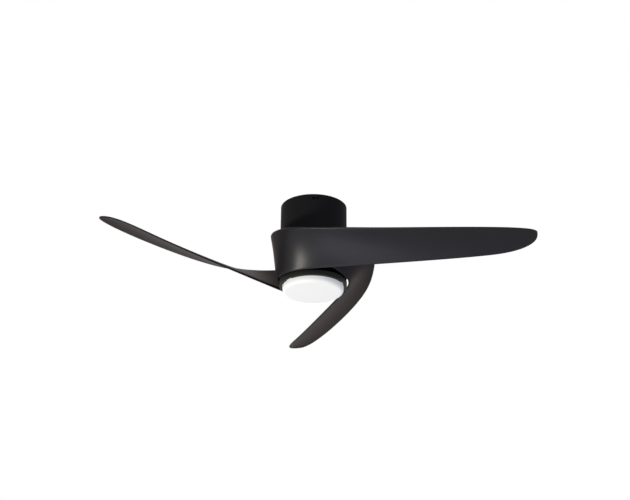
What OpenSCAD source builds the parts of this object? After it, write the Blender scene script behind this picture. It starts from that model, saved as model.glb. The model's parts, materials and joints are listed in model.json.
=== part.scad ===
// Low-profile ceiling fan with three ribbon blades that wrap its hub, and a round LED light.
// The origin is the centre of the ceiling plate's top face, and the fan hangs below z = 0.
// Seen from below the blades turn counter-clockwise, with their high edge leading.

/* [Canopy] */
// Outer diameter of the canopy
canopy_d = 194; // [188:1:204]
// Height of the canopy below the ceiling
canopy_h = 108; // [100:1:130]
// Sheet thickness of the canopy
canopy_wall = 1.5; // [1:0.1:2.5]
// Direction of the first canopy screw, seen from above
canopy_screw_az = 276; // [262:1:284]
// Distance of the canopy screws below the ceiling
canopy_screw_drop = 13; // [10:1:18]

/* [Ceiling plate and hanger] */
// Thickness of the ceiling plate
plate_t = 2.5; // [2:0.5:5]
// Distance between the middles of the two ceiling slots
slot_spacing = 120; // [100:1:130]
// Length of a ceiling slot from end to end
slot_length = 24; // [12:1:26]
// Width of a ceiling slot
slot_width = 6; // [5:0.5:8]
// Diameter of the cable hole in the ceiling plate
cable_hole_d = 36; // [28:1:44]
// Radius of the circle that the hanger posts stand on
post_circle_r = 62; // [58:1:66]
// Thickness of the hanger plate
hanger_t = 6; // [4:0.5:9]
// Distance from the hanger plate's top down to the canopy's lower edge
hanger_rise = 24; // [20:1:34]

/* [Shaft and bearings] */
// Outer diameter of the hollow shaft
shaft_d = 17; // [15:0.5:19]
// Diameter of the lead way through the shaft
shaft_bore_d = 9; // [8:0.5:10]
// Outer diameter of both ball bearings
bearing_d = 40; // [38:0.5:46]
// Width of both ball bearings
bearing_w = 12; // [10:0.5:15]
// Number of balls in each bearing
ball_count = 8; // [6:1:8]

/* [Motor] */
// Diameter over the stator teeth
stator_d = 159; // [150:1:170]
// Height of the stator stack
stack_h = 24; // [16:1:30]
// Number of stator teeth and coils
tooth_count = 18; // [12:3:18]
// Number of magnets
pole_count = 20; // [14:2:24]
// Radial thickness of a magnet
magnet_t = 4.5; // [3:0.5:6]
// Radial thickness of the yoke ring
yoke_t = 5.9; // [4:0.1:8]
// Wall thickness of the two end bells
bell_wall = 6.5; // [6.5:0.5:9]
// Height of the rotor from its top face to its bottom face
rotor_h = 107; // [100:1:120]

/* [Blades] */
// Diameter swept by the blade tips
sweep_d = 1320; // [1000:10:1500]
// Direction that the straight part of the first blade points in
blade_dir = -11.3; // [-40:0.1:40]
// Thickness of a blade at the hub
blade_t = 8; // [6:0.5:9]
// Thickness of a blade at its tip
tip_t = 4; // [3:0.5:6]
// Width of a blade's wall at the hub, from edge to edge
hub_chord = 123.5; // [116:0.5:128]
// Width of the blade beyond the hub
blade_chord = 132.5; // [110:0.5:150]
// Steepness of the wall at the hub, from level
hub_pitch = 83; // [81:1:86]
// Steepness that the blade settles to
blade_pitch = 17.2; // [10:0.1:24]
// Angle over which the root keeps its full wall
hug_deg = 28; // [26:1:34]
// Angle over which the lower edge follows the hub
wrap_deg = 68; // [60:1:80]
// Length over which the lower edge straightens out
leave_run = 145; // [110:1:170]
// Length over which the wall turns into the blade
twist_run = 137; // [110:1:180]
// Gap between the hub and the wall's lower edge
hub_gap = 1; // [1:0.5:6]
// Depth of the camber in the blade's underside
camber = 8; // [0:0.5:10]

/* [Light] */
// Outer diameter of the light's pan
pan_d = 194; // [190:1:196]
// Height of the light's pan
pan_h = 22; // [20:1:30]
// Gap between the rotor and the pan
pan_gap = 5; // [3:0.5:9]
// Outer diameter of the diffuser
diffuser_d = 175; // [172:1:176]
// Height of the diffuser below the pan
diffuser_drop = 17.5; // [12:0.5:30]
// Radius of the diffuser's rounded lower edge
diffuser_corner = 9; // [4:0.5:10]
// Angle that the diffuser turns through to come free
twist_deg = 20; // [17:1:30]
// Number of LEDs on the outer ring of the board
led_count = 18; // [12:1:24]

/* [Hidden] */
$fn = 64;

BLADES = 3;
fit = 0.05;
seat_gap = 0.15;
sink = 0.2;
over = 1;

// Levels of the fixed hanger, from the ceiling down
canopy_r = canopy_d / 2;
canopy_in = canopy_r - canopy_wall;
plate_r = canopy_in - 6.5;
tab_r = canopy_in - 0.8;
tab_t = 2.5;
tab_w = 20;
tab_drop = canopy_screw_drop + 11;
hanger_top = hanger_rise - canopy_h;
hanger_bottom = hanger_top - hanger_t;
hanger_r = post_circle_r + 9;
post_r = 5;
post_angles = [30, 150, 210, 330];
canopy_hole_r = 40;

// Rotor levels
bracket_t = 3;
screw_head_h = 3;
running_gap = 2;
rotor_top = -canopy_h - running_gap - screw_head_h - bracket_t;
rotor_bottom = rotor_top - rotor_h;
rotor_mid = (rotor_top + rotor_bottom) / 2;
plate_cover_t = 5;
air_gap = 1;
stator_r = stator_d / 2;
magnet_in = stator_r + air_gap;
yoke_in = magnet_in + magnet_t + fit;
yoke_out = yoke_in + yoke_t;
bell_in = yoke_out + fit;
bell_r = bell_in + bell_wall;
yoke_h = stack_h + 8;
magnet_h = stack_h + 4;

// Shaft stack
shaft_r = shaft_d / 2;
bore_r = shaft_bore_d / 2;
washer_t = 1.5;
nut_h = 7;
nut_r = shaft_r + 6;
shaft_top = hanger_top + washer_t + nut_h + 2.5;
bearing_r = bearing_d / 2;
boss_r = bearing_r + 5;
shoulder_t = 3;
upper_bearing_top = rotor_top - shoulder_t;
lower_bearing_bottom = rotor_bottom + shoulder_t;
sleeve_r = shaft_r + 3.5;
carrier_h = yoke_h;
carrier_top = rotor_mid + carrier_h / 2;
carrier_bottom = rotor_mid - carrier_h / 2;

// Bearing section: the balls run midway between the races
ball_circle_r = (bearing_r + shaft_r) / 2;
ball_r = (bearing_r - shaft_r) * 0.28;
race_gap = (bearing_r - shaft_r) * 0.15;

// Stator
back_iron_in = stator_r - 28;
back_iron_out = stator_r - 20;
tooth_w = 8;
tooth_tip_t = 3.5;
coil_w = 15;
coil_over = 4;
carrier_hub_t = 4;
carrier_web_t = 4;
carrier_rim_t = 3;
carrier_hole_r = 8;
board_t = 1.6;
board_z = rotor_mid + stack_h / 2;
board_hole_r = sleeve_r + carrier_hub_t + 3;
sensor_size = [8, 6, 2];
sensor_inset = 14;

// Light levels
pan_r = pan_d / 2;
pan_wall = 1.5;
pan_edge = 1;
pan_shoulder_in = 17;
pan_shoulder_h = 8;
pan_top = rotor_bottom - pan_gap;
pan_bottom = pan_top - pan_h;
flange_t = 1.6;
diffuser_r = diffuser_d / 2;
diffuser_wall = 2;
diffuser_bottom = pan_bottom - diffuser_drop;
diffuser_gap = 0.5;
pan_opening_r = diffuser_r + diffuser_gap;
lug_reach = 3.4;
lug_h = 3;
lug_lift = 0.2;
lug_deg = 14;
lug_count = 3;
shaft_bottom = pan_top - pan_wall - washer_t - nut_h - 1.5;
led_board_r = diffuser_r - diffuser_wall - 9.5;
led_board_top = pan_bottom + 5.6;
led_board_bottom = led_board_top - board_t;
standoff_circle_r = led_board_r - 16;
standoff_r = 3.5;
driver_size = [56, 24, 9.5];
driver_y = nut_r + 8;
driver_bottom = pan_top - pan_wall - driver_size[2];

// Blade path: the lower edge follows a circle round the hub, then straightens
hub_edge_r = bell_r + hub_gap + blade_t / 2;
edge_drop = 2.8;
edge_z = rotor_bottom - edge_drop;
edge_dip = 12;
dip_run = 35;
chord_run = 228;
washout = 5.3;
tip_lift = 14;
tip_power = 8;
tip_point = 0.51;
front_taper = 0.84;
front_power = 2.25;
back_round = 140;
back_power = 2.7;
edge_power = 32;
root_drop = 18;
root_run = 82;
wrap_steps = 36;
span_steps = 42;
half_ring = 10;
deg_per_mm = 180 / PI / hub_edge_r;
hug_len = hug_deg / deg_per_mm;
wrap_len = wrap_deg / deg_per_mm;
curve_len = wrap_len + leave_run;
root_az = blade_dir - 90 - wrap_deg - leave_run / 2 * deg_per_mm;
bracket_az = root_az + hug_deg / 2;

// Blade bracket and its screws
bracket_deg = hug_deg - 6;
bracket_in = bell_r - 22;
bracket_h = 74;
bracket_clear = 0.3;
bracket_edge = 4;
pad_t = 1.5;
seat_t = 3.5;
m5_r = 2.5;
m4_r = 2;
m3_r = 1.5;
bracket_screw_r = bell_r - 12;
bracket_screw_deg = 7.5;
blade_screw_deg = 7.5;
high_screw_drop = 20;
low_screw_drop = 45;
blade_screw_bite = 5;
head_clear_r = 4.4;
pad_top_drop = 12;
pad_low_rise = 4;
blade_screw_places = [
    [-blade_screw_deg, rotor_top - high_screw_drop],
    [blade_screw_deg, rotor_top - high_screw_drop],
    [0, rotor_top - low_screw_drop]
];

// Control gear on the ceiling plate
box_size = [80, 38, 24];
box_y = 34;
box_wall = 1.5;
block_size = [48, 16, 18];
block_y = -58;
lead_r = 1.6;
lead_x = 2;
lead_z = -plate_t - box_size[2] / 2;
lead_bend_r = 10;
lead_reach = 16;

// ---------- shared shapes ----------

module ring(r_out, r_in, z_low, z_high) {
    translate([0, 0, z_low])
        difference() {
            cylinder(r = r_out, h = z_high - z_low);
            translate([0, 0, -over])
                cylinder(r = r_in, h = z_high - z_low + 2 * over);
        }
}

module rod(r, z_low, z_high) {
    translate([0, 0, z_low])
        cylinder(r = r, h = z_high - z_low);
}

module around(count) {
    for (i = [0 : count - 1])
        rotate(i * 360 / count)
            children();
}

// A sector of a turned ring, centred on the +X direction
module sector(angle) {
    rotate(-angle / 2)
        rotate_extrude(angle = angle)
            children();
}

// A pan-head screw with its head above z = 0 and its shank below
module pan_screw(r, length, head_h = screw_head_h) {
    head_r = 1.8 * r;
    difference() {
        union() {
            rotate_extrude()
                polygon([[0, 0], [head_r, 0], [head_r, head_h * 0.6],
                         [head_r * 0.8, head_h], [0, head_h]]);
            rod(r, -length, over / 2);
        }
        for (turn = [0, 90])
            rotate(turn)
                translate([-head_r * 0.6, -r * 0.22, head_h * 0.5])
                    cube([head_r * 1.2, r * 0.44, head_h]);
    }
}

// A straight lead or a quarter bend of lead
module lead(length) {
    cylinder(r = lead_r, h = length);
}

module lead_bend(bend_r) {
    rotate_extrude(angle = 90)
        translate([bend_r, 0])
            circle(lead_r);
}

module hex_nut(z_low, z_high) {
    difference() {
        translate([0, 0, z_low])
            cylinder(r = nut_r, h = z_high - z_low, $fn = 6);
        rod(shaft_r + fit, z_low - over, z_high + over);
    }
}

// ---------- ceiling plate, canopy and hanger ----------

module ceiling_plate() {
    color("silver")
        difference() {
            union() {
                rod(plate_r, -plate_t, 0);
                around(2)
                    rotate(canopy_screw_az)
                        canopy_tab();
            }
            rod(cable_hole_d / 2, -plate_t - over, over);
            for (side = [-1, 1])
                translate([side * slot_spacing / 2, 0, -plate_t - over])
                    slot(slot_length, slot_width, plate_t + 2 * over);
            for (a = post_angles)
                rotate(a)
                    translate([post_circle_r, 0, 0])
                        countersink();
            around(2)
                rotate(canopy_screw_az)
                    translate([tab_r - tab_t - over, 0, -canopy_screw_drop])
                        rotate([0, 90, 0])
                            cylinder(r = m4_r + fit, h = tab_t + 2 * over);
            for (p = plate_screw_points())
                translate(p)
                    rod(m3_r + fit, -plate_t - over, over);
        }
}

module canopy_tab() {
    translate([plate_r - 8, -tab_w / 2, -plate_t])
        cube([tab_r - plate_r + 8, tab_w, plate_t]);
    translate([tab_r - tab_t, -tab_w / 2, -tab_drop])
        cube([tab_t, tab_w, tab_drop]);
}

module slot(length, width, height) {
    reach = (length - width) / 2;
    translate([-reach, -width / 2, 0])
        cube([2 * reach, width, height]);
    for (side = [-1, 1])
        translate([side * reach, 0, 0])
            cylinder(r = width / 2, h = height);
}

// A flat-head screw seat, open at the plate's top face
module countersink() {
    rod(m5_r + fit, -plate_t - over, over);
    rotate_extrude()
        polygon([[0, -plate_t + 0.4], [m5_r + fit, -plate_t + 0.4],
                 [m5_r * 2 + fit, 0], [m5_r * 2 + fit, over], [0, over]]);
}

function plate_screw_points() = [
    for (side = [-1, 1]) [side * (box_size[0] / 2 + 5), box_y + box_size[1] / 2, 0],
    for (side = [-1, 1]) [side * (block_size[0] / 2 + 5), block_y + block_size[1] / 2, 0]
];

module canopy() {
    floor_z = -canopy_h;
    color([0.10, 0.10, 0.11])
        difference() {
            translate([0, 0, floor_z])
                rotate_extrude()
                    difference() {
                        round_profile(canopy_r, canopy_h, 2.5);
                        translate([-over, canopy_wall])
                            square([canopy_in - 1 + over, canopy_h]);
                        translate([0, 2.5])
                            square([canopy_in, canopy_h]);
                        translate([-over, -over])
                            square([canopy_hole_r + over, canopy_h]);
                    }
            around(2)
                rotate(canopy_screw_az)
                    keyhole();
        }
}

// A turned profile with a rounded lower outer corner
module round_profile(r, h, corner) {
    square([r - corner, h]);
    translate([0, corner])
        square([r, h - corner]);
    translate([r - corner, corner])
        circle(corner);
}

// A round entry for the screw head with a slot that leads to the screw
module keyhole() {
    entry_deg = 6;
    end_r = m4_r + 0.4;
    half_slot = m4_r + 0.2;
    depth = canopy_wall + 2 * over;
    translate([0, 0, -canopy_screw_drop]) {
        rotate(-entry_deg)
            translate([canopy_in - over, 0, 0])
                rotate([0, 90, 0])
                    cylinder(r = head_clear_r, h = depth);
        translate([canopy_in - over, 0, 0])
            rotate([0, 90, 0])
                cylinder(r = end_r, h = depth);
        rotate(-entry_deg)
            rotate_extrude(angle = entry_deg)
                translate([canopy_in - over, -half_slot])
                    square([depth, 2 * half_slot]);
    }
}

module canopy_screws() {
    color("black")
        around(2)
            rotate(canopy_screw_az)
                translate([canopy_r + fit, 0, -canopy_screw_drop])
                    rotate([0, 90, 0])
                        pan_screw(m4_r, canopy_r - tab_r + tab_t + 2, 2.2);
}

module hanger_posts() {
    color("gainsboro")
        for (a = post_angles)
            rotate(a)
                translate([post_circle_r, 0, hanger_top])
                    difference() {
                        cylinder(r = post_r * 1.12, h = -plate_t - hanger_top, $fn = 6);
                        translate([0, 0, -over])
                            cylinder(r = m5_r + fit, h = -hanger_top);
                    }
}

module post_screws() {
    color("dimgray")
        for (a = post_angles)
            rotate(a)
                translate([post_circle_r, 0, 0]) {
                    rotate_extrude()
                        polygon([[0, -plate_t - 12], [m5_r, -plate_t - 12],
                                 [m5_r, -plate_t + 0.4], [m5_r * 2, -0.05], [0, -0.05]]);
                    translate([0, 0, hanger_bottom])
                        mirror([0, 0, 1])
                            pan_screw(m5_r, hanger_t + 12);
                }
}

module hanger_plate() {
    color("silver")
        difference() {
            rod(hanger_r, hanger_bottom, hanger_top);
            rod(shaft_r + fit, hanger_bottom - over, hanger_top + over);
            for (a = post_angles)
                rotate(a)
                    translate([post_circle_r, 0, 0])
                        rod(m5_r + fit, hanger_bottom - over, hanger_top + over);
            for (a = [0, 90, 180, 270])
                rotate(a)
                    translate([post_circle_r - 26, 0, 0])
                        rod(9, hanger_bottom - over, hanger_top + over);
        }
}

// ---------- shaft ----------

module motor_shaft() {
    cross_z = carrier_top + 12;
    color("lightgray")
        difference() {
            rod(shaft_r, shaft_bottom, shaft_top);
            rod(bore_r, shaft_bottom - over, shaft_top + over);
            translate([0, 0, cross_z])
                rotate([0, 90, 0])
                    cylinder(r = lead_r + 0.9, h = shaft_r + over);
        }
}

module shaft_nuts() {
    color("dimgray") {
        hex_nut(hanger_top + washer_t, hanger_top + washer_t + nut_h);
        hex_nut(pan_top - pan_wall - washer_t - nut_h, pan_top - pan_wall - washer_t);
    }
}

module lock_washers() {
    color("gray")
        for (z = [hanger_top, pan_top - pan_wall - washer_t])
            ring(nut_r - 0.5, shaft_r + fit, z, z + washer_t);
}

// Sleeves between the hanger plate, both bearings, the stator carrier and the pan
module spacer_sleeves() {
    color("gray") {
        ring(sleeve_r, shaft_r + fit, upper_bearing_top, hanger_bottom);
        difference() {
            ring(sleeve_r, shaft_r + fit, carrier_top, upper_bearing_top - bearing_w);
            translate([0, 0, carrier_top + 12])
                rotate([0, 90, 0])
                    cylinder(r = lead_r + 0.9, h = sleeve_r + over);
        }
        ring(sleeve_r, shaft_r + fit, lower_bearing_bottom + bearing_w, carrier_bottom);
        ring(sleeve_r, shaft_r + fit, pan_top, lower_bearing_bottom);
    }
}

// ---------- control gear above the hanger plate ----------

module control_box() {
    color("whitesmoke")
        difference() {
            union() {
                translate([-box_size[0] / 2, box_y, -plate_t - box_size[2]])
                    cube(box_size);
                for (p = [plate_screw_points()[0], plate_screw_points()[1]])
                    translate([p[0] - 5, p[1] - 5, -plate_t - 2])
                        cube([10, 10, 2]);
            }
            translate([-box_size[0] / 2 + box_wall, box_y + box_wall,
                       -plate_t - box_size[2] + box_wall])
                cube([box_size[0] - 2 * box_wall, box_size[1] - 2 * box_wall, box_size[2]]);
            for (p = [plate_screw_points()[0], plate_screw_points()[1]])
                translate(p)
                    rod(m3_r + fit, -plate_t - 3, 0);
        }
}

module control_board() {
    low_z = -plate_t - box_size[2] + box_wall;
    color("seagreen")
        translate([-box_size[0] / 2 + box_wall + 1, box_y + box_wall + 1, low_z])
            cube([box_size[0] - 2 * box_wall - 2, box_size[1] - 2 * box_wall - 2, board_t]);
    color("darkgray") {
        translate([-22, box_y + 20, low_z + board_t - sink])
            cylinder(r = 7, h = 14);
        translate([2, box_y + 10, low_z + board_t - sink])
            cube([24, 18, 9]);
    }
}

module terminal_block() {
    pitch = block_size[0] / 5;
    color("ivory")
        difference() {
            union() {
                translate([-block_size[0] / 2, block_y, -plate_t - block_size[2]])
                    cube(block_size);
                for (p = [plate_screw_points()[2], plate_screw_points()[3]])
                    translate([p[0] - 5, p[1] - 5, -plate_t - 3])
                        cube([10, 10, 3]);
            }
            for (i = [-2 : 2])
                translate([i * pitch, 0, -plate_t]) {
                    translate([0, block_y + block_size[1] / 2, -block_size[2] - over])
                        cylinder(r = 2.4, h = 8);
                    translate([0, block_y - over, -block_size[2] / 2])
                        rotate([-90, 0, 0])
                            cylinder(r = 2, h = 5);
                }
            for (p = [plate_screw_points()[2], plate_screw_points()[3]])
                translate(p)
                    rod(m3_r + fit, -plate_t - 4, 0);
        }
}

module terminal_screws() {
    pitch = block_size[0] / 5;
    color("goldenrod")
        for (i = [-2 : 2])
            translate([i * pitch, block_y + block_size[1] / 2, -plate_t - block_size[2] + 2])
                difference() {
                    cylinder(r = 2.3, h = 5);
                    translate([-3, -0.4, -over])
                        cube([6, 0.8, 1.5]);
                }
}

module plate_screws() {
    color("dimgray")
        for (p = plate_screw_points())
            translate([p[0], p[1], -plate_t - (p[1] > 0 ? 2 : 3)])
                mirror([0, 0, 1])
                    pan_screw(m3_r, (p[1] > 0 ? 2 : 3) + plate_t - 0.1, 2);
}

module supply_leads() {
    span = box_y - block_y - block_size[1];
    color("saddlebrown")
        for (x = [14, 18, 22])
            translate([x, block_y + block_size[1], -plate_t - block_size[2] / 2])
                rotate([-90, 0, 0])
                    lead(span);
}

// From the control box to the shaft and down its bore
module lead_drop(x, z_end) {
    translate([x, lead_bend_r, lead_z])
        rotate([-90, 0, 0])
            lead(box_y - lead_bend_r);
    translate([x, lead_bend_r, lead_z - lead_bend_r])
        rotate([90, 0, -90])
            lead_bend(lead_bend_r);
    translate([x, 0, z_end])
        lead(lead_z - lead_bend_r - z_end);
}

module motor_leads() {
    cross_z = carrier_top + 12;
    board_x = sleeve_r + lead_reach;
    bend = 4;
    color("firebrick") {
        lead_drop(lead_x, cross_z + bend);
        translate([lead_x + bend, 0, cross_z + bend])
            rotate([-90, 0, 180])
                lead_bend(bend);
        translate([lead_x + bend, 0, cross_z])
            rotate([0, 90, 0])
                lead(board_x - 2 * bend - lead_x);
        translate([board_x - bend, 0, cross_z - bend])
            rotate([90, 0, 0])
                lead_bend(bend);
        translate([board_x, 0, board_z + board_t])
            lead(cross_z - bend - board_z - board_t);
    }
}

module light_leads() {
    bend = 3.2;
    low_z = driver_bottom - bend;
    end_y = driver_y + 9;
    color("navy") {
        lead_drop(-lead_x, low_z + bend);
        translate([-lead_x, bend, low_z + bend])
            rotate([180, 90, 0])
                lead_bend(bend);
        translate([-lead_x, bend, low_z])
            rotate([-90, 0, 0])
                lead(end_y - 2 * bend);
        translate([-lead_x, end_y - bend, low_z + bend])
            rotate([0, 90, 0])
                lead_bend(bend);
    }
}

// ---------- motor ----------

module stator_carrier() {
    hub_r = sleeve_r + carrier_hub_t;
    rim_r = back_iron_in - fit;
    color("gainsboro")
        difference() {
            rotate_extrude() {
                translate([shaft_r + fit, carrier_bottom])
                    square([hub_r - shaft_r - fit, carrier_h]);
                translate([hub_r - over, rotor_mid - carrier_web_t / 2])
                    square([rim_r - hub_r - over, carrier_web_t]);
                translate([rim_r - carrier_rim_t, rotor_mid - stack_h / 2])
                    square([carrier_rim_t, stack_h]);
            }
            around(6)
                translate([(sleeve_r + back_iron_in) / 2, 0, 0])
                    rod(carrier_hole_r, rotor_mid - carrier_web_t, rotor_mid + carrier_web_t);
        }
}

module stator_core() {
    color("slategray")
        union() {
            ring(back_iron_out, back_iron_in, rotor_mid - stack_h / 2, rotor_mid + stack_h / 2);
            around(tooth_count) {
                translate([back_iron_out - over, -tooth_w / 2, rotor_mid - stack_h / 2])
                    cube([stator_r - tooth_tip_t - back_iron_out + 1.5 * over, tooth_w, stack_h]);
                sector(360 / tooth_count - 4)
                    translate([stator_r - tooth_tip_t, rotor_mid - stack_h / 2])
                        square([tooth_tip_t, stack_h]);
            }
        }
}

module stator_windings() {
    coil_from = back_iron_out + 1;
    coil_l = stator_r - tooth_tip_t - 0.8 - coil_from;
    color("peru")
        around(tooth_count)
            difference() {
                translate([coil_from, -coil_w / 2, rotor_mid - stack_h / 2 - coil_over])
                    cube([coil_l, coil_w, stack_h + 2 * coil_over]);
                translate([coil_from - over, -tooth_w / 2 - seat_gap,
                           rotor_mid - stack_h / 2 - seat_gap])
                    cube([coil_l + 2 * over, tooth_w + 2 * seat_gap, stack_h + 2 * seat_gap]);
            }
}

module motor_board() {
    color("seagreen")
        ring(back_iron_in - 1, board_hole_r, board_z, board_z + board_t);
    color("black")
        for (a = [40, 160, 280])
            rotate(a)
                translate([back_iron_in - sensor_inset, -sensor_size[1] / 2,
                           board_z + board_t - sink])
                    cube(sensor_size);
}

module both_bearings() {
    translate([0, 0, upper_bearing_top - bearing_w / 2])
        children();
    translate([0, 0, lower_bearing_bottom + bearing_w / 2])
        children();
}

module bearing_inner_races() {
    color("lightsteelblue")
        both_bearings()
            rotate_extrude()
                difference() {
                    translate([shaft_r + fit, -bearing_w / 2])
                        square([ball_circle_r - race_gap - shaft_r - fit, bearing_w]);
                    translate([ball_circle_r, 0])
                        circle(ball_r + fit);
                }
}

module bearing_outer_races() {
    color("steelblue")
        both_bearings()
            rotate_extrude()
                difference() {
                    translate([ball_circle_r + race_gap, -bearing_w / 2])
                        square([bearing_r - ball_circle_r - race_gap, bearing_w]);
                    translate([ball_circle_r, 0])
                        circle(ball_r + fit);
                }
}

module bearing_balls() {
    color("white")
        both_bearings()
            around(ball_count)
                translate([ball_circle_r, 0, 0])
                    sphere(ball_r);
}

// One end bell, drawn with its outer face at z = 0 and its open side towards -Z
module end_bell() {
    depth = rotor_h / 2;
    shelf = depth - yoke_h / 2;
    chamfer = 1.5;
    rotate_extrude()
        polygon([[sleeve_r + 1, 0], [bell_r - chamfer, 0], [bell_r, -chamfer], [bell_r, -depth],
                 [bell_in, -depth], [bell_in, -shelf], [bell_in - 2, -shelf],
                 [bell_in - 2, -plate_cover_t], [boss_r, -plate_cover_t],
                 [boss_r, -shoulder_t - bearing_w + 1], [bearing_r + fit, -shoulder_t - bearing_w + 1],
                 [bearing_r + fit, -shoulder_t], [sleeve_r + 1, -shoulder_t]]);
}

bell_screw_r = bell_in + m4_r + 0.6;
bell_screw_count = 6;
bell_screw_top = rotor_mid + 18;

module upper_end_bell() {
    color([0.13, 0.13, 0.14])
        difference() {
            translate([0, 0, rotor_top])
                end_bell();
            around(bell_screw_count)
                translate([bell_screw_r, 0, 0])
                    rod(m4_r + fit, rotor_mid - over, bell_screw_top + 2);
            around(BLADES)
                rotate(bracket_az)
                    for (side = [-1, 1])
                        rotate(side * bracket_screw_deg)
                            translate([bracket_screw_r, 0, 0])
                                rod(m5_r + fit, rotor_top - plate_cover_t - over, rotor_top + over);
        }
}

module lower_end_bell() {
    color([0.13, 0.13, 0.14])
        difference() {
            translate([0, 0, rotor_bottom])
                mirror([0, 0, 1])
                    end_bell();
            around(bell_screw_count)
                translate([bell_screw_r, 0, 0]) {
                    rod(m4_r + fit, rotor_bottom - over, rotor_mid + over);
                    rod(1.6 * m4_r, rotor_bottom - over, rotor_bottom + 4);
                }
        }
}

module bell_screws() {
    head_z = rotor_bottom + 4;
    color("dimgray")
        around(bell_screw_count)
            translate([bell_screw_r, 0, head_z]) {
                rod(m4_r, -over / 2, bell_screw_top - head_z);
                difference() {
                    rod(1.5 * m4_r, -3.5, 0);
                    translate([0, 0, -3.5 - over])
                        cylinder(r = 1.6, h = 3, $fn = 6);
                }
            }
}

module yoke_ring() {
    color("darkgray")
        ring(yoke_out, yoke_in, rotor_mid - yoke_h / 2, rotor_mid + yoke_h / 2);
}

module magnets() {
    color("dimgray")
        around(pole_count)
            sector(360 / pole_count - 2)
                translate([magnet_in, rotor_mid - magnet_h / 2])
                    square([magnet_t, magnet_h]);
}

// ---------- blades ----------

// Falls from 1 to 0 as x passes run
function fade(x, run, power) = 1 / (1 + pow(max(x, 0) / run, power));

// Length-weighted share of the hub's curvature left after a part t of the straightening
function eased(t) = let (u = min(max(t, 0), 1)) u - pow(u, 3) + pow(u, 4) / 2;

// Direction of the lower edge at distance s from the root
function heading(s) = root_az + 90
    + (min(s, wrap_len) + leave_run * eased((s - wrap_len) / leave_run)) * deg_per_mm;

function heading_step(s, step) = step * [cos(heading(s)), sin(heading(s))];

// Lower edge of the blade, seen from above, up to where it runs straight
wrap_step = curve_len / wrap_steps;
wrap_path = [
    for (i = 0, p = hub_edge_r * [cos(root_az), sin(root_az)];
         i <= wrap_steps;
         i = i + 1, p = p + heading_step((i - 0.5) * wrap_step, wrap_step)) p
];
straight_start = wrap_path[wrap_steps];
straight_dir = [cos(blade_dir), sin(blade_dir)];
outward = [straight_dir[1], -straight_dir[0]];

// The straight part ends where the tip reaches the sweep circle
tip_offset = straight_start
    + tip_point * blade_chord * cos(blade_pitch - washout) * outward;
tip_along = tip_offset * straight_dir;
tip_run = -tip_along + sqrt(pow(sweep_d / 2, 2) - tip_offset * tip_offset + pow(tip_along, 2));
blade_len = curve_len + tip_run;
front_run = front_taper * (blade_len - leave_run / 2);

function pitch_at(s) = blade_pitch
    + (hub_pitch - blade_pitch) * fade(s - hug_len, twist_run, 2)
    - washout * pow(s / blade_len, tip_power);
function chord_at(s) = blade_chord
    - (blade_chord - hub_chord) * fade(s - hug_len, chord_run, 8);
function edge_height(s) = edge_z
    - edge_dip * (1 - fade(s - hug_len, dip_run, 3))
    + tip_lift * pow(s / blade_len, tip_power);
function thickness_at(s) = blade_t + (tip_t - blade_t) * s / blade_len;
function camber_at(s) = camber * (1 - fade(s - hug_len, twist_run, 3));

// Rises smoothly from 0 to 1 as q does
function smooth(q) = let (u = min(max(q, 0), 1)) u * u * (3 - 2 * u);

// Quarter of a superellipse, rising from 0 to 1
function rounding(q, power) = let (u = min(max(q, 0), 1)) 1 - pow(1 - pow(u, power), 1 / power);
function back_edge(s) = tip_point
    * rounding((s - blade_len + back_round) / back_round, back_power);
function front_edge(s) = 1
    - (1 - tip_point) * rounding((s - blade_len + front_run) / front_run, front_power)
    - root_drop / hub_chord * smooth(1 - s / root_run);

// One closed section of the blade, across the path at the plan point p, with round edges
function blade_section(s, p) =
    let (
        out = [sin(heading(s)), -cos(heading(s)), 0],
        pitch = pitch_at(s),
        across = cos(pitch) * out + [0, 0, sin(pitch)],
        normal = -sin(pitch) * out + [0, 0, cos(pitch)],
        low = back_edge(s),
        width = front_edge(s) - low,
        start = [p[0], p[1], edge_height(s)] + low * chord_at(s) * across
    )
    [for (j = [0 : 2 * half_ring - 1])
        let (
            a = 180 * j / half_ring,
            w = (1 - cos(a)) / 2,
            bulge = camber_at(s) * width * 4 * w * (1 - w),
            skin = thickness_at(s) / 2 * sqrt(1 - pow(cos(a), edge_power))
                * (sin(a) < 0 ? -1 : 1)
        )
        start + w * width * chord_at(s) * across + (bulge + skin) * normal];

blade_sections = concat(
    [for (i = [0 : wrap_steps - 1]) blade_section(i * wrap_step, wrap_path[i])],
    [for (i = [0 : span_steps])
        let (run = tip_run * sin(89.5 * i / span_steps))
        blade_section(curve_len + run, straight_start + run * straight_dir)]
);

module blade_skin() {
    loops = len(blade_sections);
    size = 2 * half_ring;
    points = [for (loop = blade_sections) each loop];
    sides = [
        for (i = [0 : loops - 2], j = [0 : size - 1])
            let (a = i * size + j, b = i * size + (j + 1) % size)
            each [[a, b, a + size], [b, b + size, a + size]]
    ];
    first = [for (j = [0 : size - 1]) size - 1 - j];
    last = [for (j = [0 : size - 1]) (loops - 1) * size + j];
    polyhedron(points = points, faces = concat(sides, [first, last]), convexity = 6);
}

// Radius of the wall's inner face at the root, at height z
function wall_in(z) = hub_edge_r + (z - edge_z) / tan(hub_pitch) - blade_t / 2 / sin(hub_pitch);

module at_blade_screws() {
    for (place = blade_screw_places)
        rotate(bracket_az + place[0])
            translate([0, 0, place[1]])
                rotate([0, 90, 0])
                    children();
}

module blade(index) {
    color([0.16, 0.155, 0.16])
        rotate(index * 360 / BLADES)
            difference() {
                blade_skin();
                for (place = blade_screw_places)
                    rotate(bracket_az + place[0])
                        translate([wall_in(place[1]) - 2 * over, 0, place[1]])
                            rotate([0, 90, 0])
                                cylinder(r = m4_r + fit, h = blade_screw_bite + 2.5 * over);
            }
}

// ---------- blade brackets ----------

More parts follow.
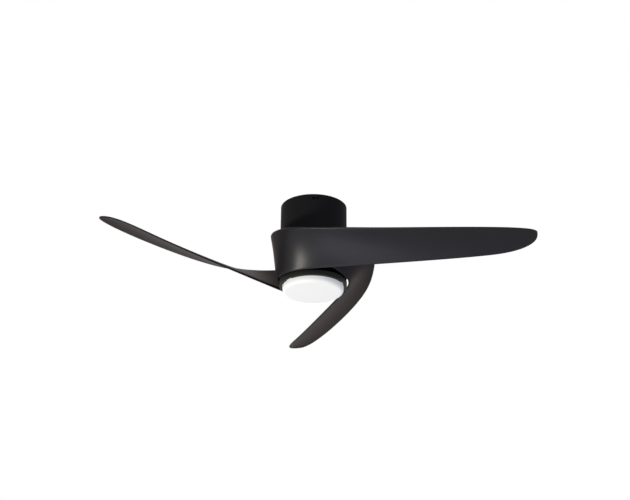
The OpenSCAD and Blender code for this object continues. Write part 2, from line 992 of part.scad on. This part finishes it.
// Radius of the bracket's outer face at height z
function bracket_out(z) = wall_in(z) - (pad_t + 2 * seat_gap) / sin(hub_pitch);

module blade_bracket(index) {
    top = rotor_top + bracket_t;
    shoulder = top - bracket_edge;
    low = rotor_top - bracket_h;
    inner = bell_r + bracket_clear;
    color([0.22, 0.22, 0.23])
        rotate(index * 360 / BLADES)
            difference() {
                rotate(bracket_az)
                    sector(bracket_deg)
                        polygon([[bracket_in, rotor_top], [inner, rotor_top], [inner, low],
                                 [bracket_out(low), low], [bracket_out(shoulder), shoulder],
                                 [bracket_out(shoulder) - bracket_edge, top],
                                 [bracket_in, top]]);
                for (side = [-1, 1])
                    rotate(bracket_az + side * bracket_screw_deg)
                        translate([bracket_screw_r, 0, 0])
                            rod(m5_r + fit, rotor_top - over, top + over);
                for (place = blade_screw_places)
                    rotate(bracket_az + place[0])
                        translate([0, 0, place[1]])
                            rotate([0, 90, 0]) {
                                rod(m4_r + fit, bell_r - over, bracket_out(place[1]) + over);
                                rod(head_clear_r, bell_r - over,
                                    bracket_out(place[1]) - seat_t);
                            }
            }
}

module blade_pads() {
    high = rotor_top - pad_top_drop;
    low = rotor_top - bracket_h + pad_low_rise;
    side = seat_gap / sin(hub_pitch);
    thick = pad_t / sin(hub_pitch);
    color("black")
        around(BLADES)
            difference() {
                rotate(bracket_az)
                    sector(bracket_deg - 1)
                        polygon([[bracket_out(low) + side, low],
                                 [bracket_out(low) + side + thick, low],
                                 [bracket_out(high) + side + thick, high],
                                 [bracket_out(high) + side, high]]);
                for (place = blade_screw_places)
                    rotate(bracket_az + place[0])
                        translate([bell_r, 0, place[1]])
                            rotate([0, 90, 0])
                                cylinder(r = m4_r + bracket_clear,
                                         h = wall_in(place[1]) + over - bell_r);
            }
}

module bracket_screws() {
    color("dimgray")
        around(BLADES)
            for (side = [-1, 1])
                rotate(bracket_az + side * bracket_screw_deg)
                    translate([bracket_screw_r, 0, rotor_top + bracket_t])
                        pan_screw(m5_r, bracket_t + plate_cover_t - 0.5);
}

module blade_screws() {
    color("dimgray")
        around(BLADES)
            for (place = blade_screw_places)
                rotate(bracket_az + place[0])
                    translate([bracket_out(place[1]) - seat_t, 0, place[1]])
                        rotate([0, -90, 0])
                            pan_screw(m4_r, seat_t + pad_t + 2 * seat_gap + blade_screw_bite);
}

// ---------- light ----------

module light_pan() {
    color([0.15, 0.15, 0.16])
        difference() {
            union() {
                rotate_extrude()
                    pan_profile();
                around(lug_count)
                    rotate(lug_deg / 2 + 2)
                        sector(3)
                            translate([pan_opening_r + 0.3, pan_bottom + flange_t - sink])
                                square([lug_reach, lug_h]);
            }
            around(lug_count)
                rotate(-twist_deg)
                    sector(lug_deg + 2)
                        translate([pan_opening_r - over, pan_bottom - over])
                            square([lug_reach + over, flange_t + 2 * over]);
            for (p = standoff_points())
                translate([p[0], p[1], 0])
                    rod(m3_r + fit, pan_top - pan_wall - over, pan_top + over);
        }
}

// Half section of the pan: a flat top, a sloping shoulder, a wall and an inward flange
module pan_profile() {
    hole = shaft_r + fit;
    inside = pan_r - pan_wall;
    roof = pan_top - pan_wall;
    shelf = pan_bottom + flange_t;
    shoulder_r = pan_r - pan_shoulder_in;
    slope = pan_shoulder_h / pan_shoulder_in;
    upright = pan_wall * sqrt(1 + slope * slope);
    rim = pan_top - pan_shoulder_h;
    polygon([[hole, pan_top], [shoulder_r, pan_top], [pan_r, rim],
             [pan_r, pan_bottom + pan_edge], [pan_r - pan_edge, pan_bottom],
             [pan_opening_r, pan_bottom], [pan_opening_r, shelf],
             [inside, shelf], [inside, rim + pan_wall * slope - upright],
             [shoulder_r + (pan_wall - upright) / slope, roof], [hole, roof]]);
}

function standoff_points() = [
    for (a = [90, 210, 330]) standoff_circle_r * [cos(a), sin(a)]
];

module led_standoffs() {
    color("gainsboro")
        for (p = standoff_points())
            translate([p[0], p[1], 0])
                difference() {
                    rod(standoff_r, led_board_top, pan_top - pan_wall);
                    rod(m3_r + fit, led_board_top - over, led_board_top + 8);
                }
}

module led_board() {
    color("white")
        difference() {
            rod(led_board_r, led_board_bottom, led_board_top);
            for (p = standoff_points())
                translate([p[0], p[1], 0])
                    rod(m3_r + fit, led_board_bottom - over, led_board_top + over);
        }
}

module leds() {
    size = [3.5, 2.8, 0.8];
    color("khaki")
        for (circle_share = [1, 2 / 3, 1 / 3])
            around(round(led_count * circle_share))
                translate([(led_board_r - 7) * circle_share - size[0] / 2, -size[1] / 2,
                           led_board_bottom - size[2]])
                    cube(size);
}

module led_screws() {
    color("silver")
        for (p = standoff_points())
            translate([p[0], p[1], led_board_bottom])
                mirror([0, 0, 1])
                    pan_screw(m3_r, board_t + 6, 2);
}

module led_driver() {
    color("whitesmoke")
        difference() {
            translate([-driver_size[0] / 2, driver_y, driver_bottom])
                cube(driver_size);
            for (side = [-1, 1])
                translate([side * driver_size[0] / 2, driver_y + driver_size[1] / 2,
                           driver_bottom - over])
                    cylinder(r = 2.5, h = driver_size[2] + 2 * over);
        }
}

module diffuser() {
    top = pan_bottom + flange_t + lug_lift + lug_h;
    height = top - diffuser_bottom;
    color([0.96, 0.96, 0.94])
        union() {
            translate([0, 0, diffuser_bottom])
                rotate_extrude()
                    difference() {
                        round_profile(diffuser_r, height, diffuser_corner);
                        translate([-over, diffuser_wall])
                            square([diffuser_r - diffuser_corner + over, height]);
                        translate([-over, diffuser_corner])
                            square([diffuser_r - diffuser_wall + over, height]);
                        translate([diffuser_r - diffuser_corner, diffuser_corner])
                            circle(diffuser_corner - diffuser_wall);
                        translate([-2 * over, -over])
                            square([2 * over, height + 2 * over]);
                    }
            around(lug_count)
                sector(lug_deg)
                    translate([diffuser_r - over, top - lug_h])
                        square([lug_reach + over - 0.2, lug_h]);
        }
}

ceiling_plate();
canopy();
canopy_screws();
hanger_posts();
post_screws();
hanger_plate();
motor_shaft();
shaft_nuts();
lock_washers();
spacer_sleeves();
control_box();
control_board();
terminal_block();
terminal_screws();
plate_screws();
supply_leads();
motor_leads();
light_leads();
stator_carrier();
stator_core();
stator_windings();
motor_board();
bearing_inner_races();
light_pan();
led_standoffs();
led_board();
leds();
led_screws();
led_driver();
upper_end_bell();
lower_end_bell();
yoke_ring();
magnets();
bell_screws();
bearing_outer_races();
bearing_balls();
blade(0);  // blade_1
blade(-1);  // blade_2
blade(1);  // blade_3
blade_bracket(0);  // blade_bracket_1
blade_bracket(-1);  // blade_bracket_2
blade_bracket(1);  // blade_bracket_3
blade_pads();
bracket_screws();
blade_screws();
diffuser();
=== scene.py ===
"""Looks of a low-profile ceiling fan: camera, lights, materials and finely meshed blades."""

import json
import math

import bpy
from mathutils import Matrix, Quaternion, Vector


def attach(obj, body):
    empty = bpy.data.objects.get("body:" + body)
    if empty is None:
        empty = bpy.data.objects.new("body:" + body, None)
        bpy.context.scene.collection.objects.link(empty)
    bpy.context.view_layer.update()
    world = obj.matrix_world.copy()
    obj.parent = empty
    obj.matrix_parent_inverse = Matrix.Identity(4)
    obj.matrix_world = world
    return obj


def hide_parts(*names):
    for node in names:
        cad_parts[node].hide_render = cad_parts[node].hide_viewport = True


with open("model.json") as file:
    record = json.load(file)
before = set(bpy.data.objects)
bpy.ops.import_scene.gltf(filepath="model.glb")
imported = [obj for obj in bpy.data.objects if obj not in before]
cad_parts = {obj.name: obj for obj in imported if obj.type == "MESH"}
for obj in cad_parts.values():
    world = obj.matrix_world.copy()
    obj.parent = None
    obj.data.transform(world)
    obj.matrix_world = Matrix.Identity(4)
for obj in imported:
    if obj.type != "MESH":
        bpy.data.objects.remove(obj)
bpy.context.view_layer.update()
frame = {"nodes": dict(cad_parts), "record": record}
nodes = frame["nodes"]
MM = 0.001

# ---------------------------------------------------------------- blade form
# The same named values as the blades in the part's source, in millimetres.

BLADES = 3
BELL_R = 97.5
HUB_GAP = 1.0
BLADE_T = 8.0
TIP_T = 4.0
SWEEP_R = 660.0
BLADE_DIR = -11.3
HUB_CHORD = 123.5
BLADE_CHORD = 132.5
HUB_PITCH = 83.0
BLADE_PITCH = 17.2
HUG_DEG = 28.0
WRAP_DEG = 68.0
LEAVE_RUN = 145.0
TWIST_RUN = 137.0
CAMBER = 8.0
EDGE_Z = -225.8
EDGE_DIP = 12.0
DIP_RUN = 35.0
CHORD_RUN = 228.0
WASHOUT = 5.3
TIP_LIFT = 14.0
TIP_POWER = 8
TIP_POINT = 0.51
FRONT_TAPER = 0.84
FRONT_POWER = 2.25
BACK_ROUND = 140.0
BACK_POWER = 2.7
EDGE_POWER = 32
ROOT_DROP = 18.0
ROOT_RUN = 82.0

EDGE_R = BELL_R + HUB_GAP + BLADE_T / 2
DEG_PER_MM = math.degrees(1 / EDGE_R)
HUG_LEN = HUG_DEG / DEG_PER_MM
WRAP_LEN = WRAP_DEG / DEG_PER_MM
CURVE_LEN = WRAP_LEN + LEAVE_RUN
ROOT_AZ = BLADE_DIR - 90 - WRAP_DEG - LEAVE_RUN / 2 * DEG_PER_MM

WRAP_STEPS = 144
SPAN_STEPS = 150
HALF_RING = 28


def sind(a):
    """Sine of an angle in degrees."""
    return math.sin(math.radians(a))


def cosd(a):
    """Cosine of an angle in degrees."""
    return math.cos(math.radians(a))


def clip01(x):
    """Keeps a value between 0 and 1."""
    return min(max(x, 0.0), 1.0)


def fade(x, run, power):
    """Falls from 1 to 0 as x passes run."""
    return 1 / (1 + (max(x, 0.0) / run) ** power)


def heading(s):
    """Direction of the lower edge at distance s from the root, in degrees."""
    t = clip01((s - WRAP_LEN) / LEAVE_RUN)
    curved = min(s, WRAP_LEN) + LEAVE_RUN * (t - t**3 + t**4 / 2)
    return ROOT_AZ + 90 + curved * DEG_PER_MM


def smooth(q):
    """Rises smoothly from 0 to 1 as q does."""
    u = clip01(q)
    return u * u * (3 - 2 * u)


def rounding(q, power):
    """Quarter of a superellipse, rising from 0 to 1."""
    return 1 - (1 - clip01(q) ** power) ** (1 / power)


def wrap_path():
    """Plan points of the lower edge, from the root to where it runs straight."""
    step = CURVE_LEN / WRAP_STEPS
    x, y = EDGE_R * cosd(ROOT_AZ), EDGE_R * sind(ROOT_AZ)
    points = [(x, y)]
    for i in range(WRAP_STEPS):
        a = heading((i + 0.5) * step)
        x, y = x + step * cosd(a), y + step * sind(a)
        points.append((x, y))
    return points


def blade_section(s, x, y, length):
    """One closed section of the blade across the path, as vectors in millimetres."""
    a = heading(s)
    out = Vector((sind(a), -cosd(a), 0))
    pitch = (BLADE_PITCH + (HUB_PITCH - BLADE_PITCH) * fade(s - HUG_LEN, TWIST_RUN, 2)
             - WASHOUT * (s / length) ** TIP_POWER)
    across = cosd(pitch) * out + Vector((0, 0, sind(pitch)))
    normal = -sind(pitch) * out + Vector((0, 0, cosd(pitch)))
    front_run = FRONT_TAPER * (length - LEAVE_RUN / 2)
    low = TIP_POINT * rounding((s - length + BACK_ROUND) / BACK_ROUND, BACK_POWER)
    high = (1 - (1 - TIP_POINT) * rounding((s - length + front_run) / front_run, FRONT_POWER)
            - ROOT_DROP / HUB_CHORD * smooth(1 - s / ROOT_RUN))
    width = high - low
    chord = BLADE_CHORD - (BLADE_CHORD - HUB_CHORD) * fade(s - HUG_LEN, CHORD_RUN, 8)
    z = (EDGE_Z - EDGE_DIP * (1 - fade(s - HUG_LEN, DIP_RUN, 3))
         + TIP_LIFT * (s / length) ** TIP_POWER)
    start = Vector((x, y, z)) + low * chord * across
    thick = BLADE_T + (TIP_T - BLADE_T) * s / length
    camber = CAMBER * (1 - fade(s - HUG_LEN, TWIST_RUN, 3))
    ring = []
    for j in range(2 * HALF_RING):
        c = math.cos(math.pi * j / HALF_RING)
        w = (1 - c) / 2
        bulge = camber * width * 4 * w * (1 - w)
        skin = thick / 2 * math.sqrt(max(0.0, 1 - c**EDGE_POWER))
        if j > HALF_RING:
            skin = -skin
        ring.append(start + w * width * chord * across + (bulge + skin) * normal)
    return ring


def blade_sections():
    """All sections of the blade, from the root to the tip."""
    path = wrap_path()
    sx, sy = path[-1]
    out = Vector((sind(BLADE_DIR), -cosd(BLADE_DIR)))
    along = Vector((cosd(BLADE_DIR), sind(BLADE_DIR)))
    tip = Vector((sx, sy)) + TIP_POINT * BLADE_CHORD * cosd(BLADE_PITCH - WASHOUT) * out
    tip_along = tip.dot(along)
    tip_run = -tip_along + math.sqrt(SWEEP_R**2 - tip.dot(tip) + tip_along**2)
    length = CURVE_LEN + tip_run
    step = CURVE_LEN / WRAP_STEPS
    rings = [blade_section(i * step, *path[i], length) for i in range(WRAP_STEPS)]
    for i in range(SPAN_STEPS + 1):
        run = tip_run * sind(89.5 * i / SPAN_STEPS)
        x, y = sx + run * along.x, sy + run * along.y
        rings.append(blade_section(CURVE_LEN + run, x, y, length))
    return rings


def blade_mesh(name):
    """The closed skin of one blade, with a face over each end."""
    rings = blade_sections()
    size = 2 * HALF_RING
    verts = [p * MM for ring in rings for p in ring]
    faces = []
    for i in range(len(rings) - 1):
        for j in range(size):
            a, b = i * size + j, i * size + (j + 1) % size
            faces.append((a, a + size, b + size, b))
    faces.append(tuple(range(size)))
    last = (len(rings) - 1) * size
    faces.append(tuple(last + size - 1 - j for j in range(size)))
    mesh = bpy.data.meshes.new(name)
    mesh.from_pydata([tuple(v) for v in verts], [], faces)
    mesh.validate()
    mesh.update()
    return mesh


# ---------------------------------------------------------------- materials

CLOUD_SCALE = 14.0
CLOUD_DETAIL = 5.0
GRAIN_SCALE = 900.0
GRAIN_DETAIL = 3.0
RELIEF_DEPTH = 0.4 * MM
COOL_WHITE = (0.94, 0.97, 1.0)


def noise(tree, place, scale, detail):
    """A noise value at a mapped place."""
    node = tree.nodes.new("ShaderNodeTexNoise")
    node.inputs["Scale"].default_value = scale
    node.inputs["Detail"].default_value = detail
    tree.links.new(place, node.inputs["Vector"])
    return node.outputs["Fac"]


def vary_roughness(tree, bsdf, cloud, fine, rough, spread):
    """Roughness that wanders by spread either way, in clouds and in grain."""
    both = tree.nodes.new("ShaderNodeMix")
    both.inputs["Factor"].default_value = 0.5
    tree.links.new(cloud, both.inputs["A"])
    tree.links.new(fine, both.inputs["B"])
    level = tree.nodes.new("ShaderNodeMapRange")
    level.inputs["From Min"].default_value = 0.3
    level.inputs["From Max"].default_value = 0.7
    level.inputs["To Min"].default_value = rough - spread
    level.inputs["To Max"].default_value = rough + spread
    tree.links.new(both.outputs["Result"], level.inputs["Value"])
    tree.links.new(level.outputs["Result"], bsdf.inputs["Roughness"])


def vary_colour(tree, bsdf, cloud, base, tint):
    """Colour that is darker and paler by the share tint, in clouds."""
    shade = tree.nodes.new("ShaderNodeMix")
    shade.data_type = "RGBA"
    dark, pale = shade.inputs[6], shade.inputs[7]
    dark.default_value = (*[c * (1 - tint) for c in base], 1)
    pale.default_value = (*[min(1, c * (1 + tint)) for c in base], 1)
    tree.links.new(cloud, shade.inputs["Factor"])
    tree.links.new(shade.outputs[2], bsdf.inputs["Base Color"])


def add_relief(tree, bsdf, fine, strength):
    """Fine relief from the grain."""
    relief = tree.nodes.new("ShaderNodeBump")
    relief.inputs["Strength"].default_value = strength
    relief.inputs["Distance"].default_value = RELIEF_DEPTH
    tree.links.new(fine, relief.inputs["Height"])
    tree.links.new(relief.outputs["Normal"], bsdf.inputs["Normal"])


def material(name, base, rough, bump, tint, metallic=0.0, spread=0.06,
             stretch=(1, 1, 1), specular=0.5, edge=(1, 1, 1), painted_glow=0.0):
    """A surface with grain in its roughness, its colour and its relief.

    edge tints what it mirrors at flat angles; the glow is painted light that the surface gives
    off, which evens out its shade.
    """
    mat = bpy.data.materials.new(name)
    mat.use_nodes = True
    tree = mat.node_tree
    bsdf = tree.nodes["Principled BSDF"]
    bsdf.inputs["Base Color"].default_value = (*base, 1)
    bsdf.inputs["Roughness"].default_value = rough
    bsdf.inputs["Metallic"].default_value = metallic
    bsdf.inputs["Specular IOR Level"].default_value = specular
    bsdf.inputs["Specular Tint"].default_value = (*edge, 1)
    # Colour and strength of the painted glow: light the surface gives off itself, with no lamp
    # in it.
    bsdf.inputs["Emission Color"].default_value = (*COOL_WHITE, 1)
    bsdf.inputs["Emission Strength"].default_value = painted_glow
    coords = tree.nodes.new("ShaderNodeTexCoord")
    place = tree.nodes.new("ShaderNodeMapping")
    place.inputs["Scale"].default_value = stretch
    tree.links.new(coords.outputs["Object"], place.inputs["Vector"])
    cloud = noise(tree, place.outputs["Vector"], CLOUD_SCALE, CLOUD_DETAIL)
    fine = noise(tree, place.outputs["Vector"], GRAIN_SCALE, GRAIN_DETAIL)
    vary_roughness(tree, bsdf, cloud, fine, rough, spread)
    vary_colour(tree, bsdf, cloud, base, tint)
    add_relief(tree, bsdf, fine, bump)
    return mat


LOOKS = {
    "zinc_steel": dict(base=(0.60, 0.61, 0.62), rough=0.38, metallic=1.0, bump=0.15, tint=0.10),
    "canopy_paint": dict(base=(0.0100, 0.0097, 0.0120), rough=0.60, bump=0.3, tint=0.12,
                         specular=0.02),
    "black_screw": dict(base=(0.0025, 0.0025, 0.0027), rough=0.55, bump=0.1, tint=0.1,
                        specular=0.02),
    "steel_screw": dict(base=(0.55, 0.55, 0.56), rough=0.30, metallic=1.0, bump=0.1, tint=0.08),
    "shaft_steel": dict(base=(0.55, 0.55, 0.57), rough=0.25, metallic=1.0, bump=0.1,
                        tint=0.08, stretch=(1, 1, 12)),
    "white_plastic": dict(base=(0.80, 0.80, 0.78), rough=0.45, bump=0.15, tint=0.03),
    "circuit_board": dict(base=(0.02, 0.14, 0.06), rough=0.35, bump=0.2, tint=0.15),
    "ivory_plastic": dict(base=(0.78, 0.74, 0.62), rough=0.40, bump=0.1, tint=0.03),
    "brass": dict(base=(0.75, 0.52, 0.20), rough=0.28, metallic=1.0, bump=0.1, tint=0.08),
    "brown_lead": dict(base=(0.16, 0.06, 0.03), rough=0.40, bump=0.1, tint=0.08),
    "red_lead": dict(base=(0.45, 0.02, 0.02), rough=0.40, bump=0.1, tint=0.08),
    "blue_lead": dict(base=(0.02, 0.05, 0.32), rough=0.40, bump=0.1, tint=0.08),
    "aluminium": dict(base=(0.70, 0.71, 0.72), rough=0.42, metallic=1.0, bump=0.3, tint=0.08),
    "core_steel": dict(base=(0.30, 0.31, 0.33), rough=0.40, metallic=1.0, bump=0.3,
                       tint=0.1, stretch=(0.1, 0.1, 4)),
    "copper_wire": dict(base=(0.62, 0.24, 0.09), rough=0.30, metallic=0.8, bump=0.4, tint=0.1,
                        stretch=(0.2, 0.2, 2)),
    "bearing_steel": dict(base=(0.72, 0.73, 0.75), rough=0.16, metallic=1.0, bump=0.03,
                          tint=0.04),
    "pan_paint": dict(base=(0.012, 0.012, 0.012), rough=0.45, bump=0.2, tint=0.1,
                      specular=0.08),
    "led_board_white": dict(base=(0.82, 0.82, 0.81), rough=0.45, bump=0.1, tint=0.03),
    "led_phosphor": dict(base=(0.85, 0.72, 0.25), rough=0.25, bump=0.05, tint=0.05),
    "bell_paint": dict(base=(0.008, 0.008, 0.008), rough=0.45, bump=0.25, tint=0.1,
                       specular=0.06),
    "magnet": dict(base=(0.42, 0.42, 0.43), rough=0.22, metallic=1.0, bump=0.05, tint=0.05),
    "blade_plastic": dict(base=(0.0220, 0.0216, 0.0266), rough=0.34, metallic=0.5, bump=0.12,
                          tint=0.08, spread=0.03, specular=0.0, edge=(0.645, 0.595, 0.565)),
    "bracket_metal": dict(base=(0.006, 0.006, 0.006), rough=0.55, bump=0.3, tint=0.12,
                          specular=0.03),
    "pad_rubber": dict(base=(0.008, 0.008, 0.008), rough=0.7, bump=0.3, tint=0.1,
                       specular=0.15),
    # The diffuser's glow is painted light that evens out the shade between its face and its
    # side, and also stands in for its LEDs being lit.
    "diffuser_opal": dict(base=(0.54, 0.54, 0.60), rough=0.42, bump=0.06, tint=0.01,
                          specular=0.3, painted_glow=0.25),
}
finishes = {slot: material(slot, **look) for slot, look in LOOKS.items()}


def paint(piece, slot):
    """Gives a piece the finish of its slot."""
    piece.data.materials.clear()
    piece.data.materials.append(finishes[slot])


for part in frame["record"]["subparts"]:
    paint(nodes[part["node"]], part["material_slot"])

# ---------------------------------------------------------------- blades

TURN = 360 / BLADES


def turned(point, angle):
    """A point turned about the fan's axis, in degrees."""
    c, s = cosd(angle), sind(angle)
    return (c * point.x - s * point.y, s * point.x + c * point.y, point.z)


def add_blade(skin, number, angle):
    """A smooth skin in place of one solid blade."""
    mesh = skin.copy()
    for corner in mesh.vertices:
        corner.co = turned(corner.co, angle)
    mesh.update()
    for face in mesh.polygons:
        face.use_smooth = True
    blade = bpy.data.objects.new(f"blade_{number}_skin", mesh)
    bpy.context.scene.collection.objects.link(blade)
    paint(blade, "blade_plastic")
    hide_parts(f"blade_{number}")
    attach(blade, "rotor")


blade_skin = blade_mesh("blade_skin")
for number, angle in ((1, 0), (2, -TURN), (3, TURN)):
    add_blade(blade_skin, number, angle)

# ---------------------------------------------------------------- stage, lights and camera

FAN_MIDDLE = Vector((0, 0, -170 * MM))
WORLD_FILL = 0.35
FLOOR_Z = -4.0
FLOOR_SIZE = 60
FLOOR_LIFT = 0.62
WARM = (1.0, 0.96, 0.71)


def seen(tree):
    """1 for what the camera sees, also in mirrors and through glass, and 0 for light."""
    make, link = tree.nodes.new, tree.links.new
    rays = make("ShaderNodeLightPath")
    total = rays.outputs["Is Camera Ray"]
    for kind in ("Is Glossy Ray", "Is Transmission Ray"):
        either = make("ShaderNodeMath")
        either.operation = "MAXIMUM"
        link(total, either.inputs[0])
        link(rays.outputs[kind], either.inputs[1])
        total = either.outputs["Value"]
    return total


def scaled(tree, value, low, high):
    """A value from 0 to 1 as one from low to high."""
    span = tree.nodes.new("ShaderNodeMapRange")
    span.inputs["To Min"].default_value = low
    span.inputs["To Max"].default_value = high
    tree.links.new(value, span.inputs["Value"])
    return span.outputs["Result"]


def floor(z, size, lift):
    """A pale floor that takes the shadow; lift is how much paler it is to the eye."""
    bpy.ops.mesh.primitive_plane_add(size=size, location=(0, 0, z))
    plane = bpy.context.object
    plane.name = "floor"
    mat = bpy.data.materials.new("floor_white")
    mat.use_nodes = True
    tree = mat.node_tree
    bsdf = tree.nodes["Principled BSDF"]
    bsdf.inputs["Base Color"].default_value = (0.86, 0.86, 0.86, 1)
    bsdf.inputs["Roughness"].default_value = 0.9
    bsdf.inputs["Emission Color"].default_value = (1, 1, 1, 1)
    tree.links.new(scaled(tree, seen(tree), 0.0, lift), bsdf.inputs["Emission Strength"])
    plane.data.materials.append(mat)


def area_light(name, place, size, power, colour):
    """A rectangular lamp at a place, turned towards the fan."""
    lamp = bpy.data.lights.new(name, "AREA")
    lamp.shape = "RECTANGLE"
    lamp.size, lamp.size_y = size
    lamp.energy = power
    lamp.color = colour
    obj = bpy.data.objects.new(name, lamp)
    obj.location = place
    obj.rotation_euler = (FAN_MIDDLE - place).to_track_quat("-Z", "Y").to_euler()
    bpy.context.scene.collection.objects.link(obj)


def white_world(fill):
    """White to the camera, in mirrors and through glass, and a dimmer fill for the rest."""
    world = bpy.data.worlds.new("studio")
    bpy.context.scene.world = world
    world.use_nodes = True
    tree = world.node_tree
    background = tree.nodes["Background"]
    background.inputs["Color"].default_value = (1, 1, 1, 1)
    tree.links.new(scaled(tree, seen(tree), fill, 1.0), background.inputs["Strength"])


def around(azimuth, rise, distance):
    """A place seen from the fan: degrees to the right of the camera's side, degrees up."""
    out = distance * cosd(rise)
    return FAN_MIDDLE + Vector((out * sind(azimuth), -out * cosd(azimuth),
                                distance * sind(rise)))


white_world(WORLD_FILL)
floor(FLOOR_Z, FLOOR_SIZE, FLOOR_LIFT)
area_light("key", around(-56, -37, 3.0), (0.6, 0.45), 78, WARM)
area_light("below", around(-80, -76, 2.1), (1.1, 1.1), 12, COOL_WHITE)
area_light("front", around(25, 5, 3.0), (1.2, 1.2), 18, COOL_WHITE)
area_light("back", around(-150, 50, 3.2), (1.4, 1.4), 30, COOL_WHITE)

# ---------------------------------------------------------------- camera

CAMERA_PLACE = Vector((0, -2.9124, -1.4234))
CAMERA_YAW = 0.091
CAMERA_PITCH = 23.892
CAMERA_ROLL = 0.512
CAMERA_LENS = 62.574
SENSOR_WIDTH = 36.0


def add_camera():
    """The camera below and in front of the fan, looking up at it."""
    data = bpy.data.cameras.new("camera")
    data.sensor_width = SENSOR_WIDTH
    data.lens = CAMERA_LENS
    camera = bpy.data.objects.new("camera", data)
    ahead = Vector((sind(CAMERA_YAW) * cosd(CAMERA_PITCH),
                    cosd(CAMERA_YAW) * cosd(CAMERA_PITCH), sind(CAMERA_PITCH)))
    roll = Quaternion((0, 0, 1), math.radians(CAMERA_ROLL))
    camera.rotation_mode = "QUATERNION"
    camera.rotation_quaternion = ahead.to_track_quat("-Z", "Y") @ roll
    camera.location = CAMERA_PLACE
    bpy.context.scene.collection.objects.link(camera)
    bpy.context.scene.camera = camera


add_camera()
bpy.context.scene.view_settings.view_transform = "Standard"
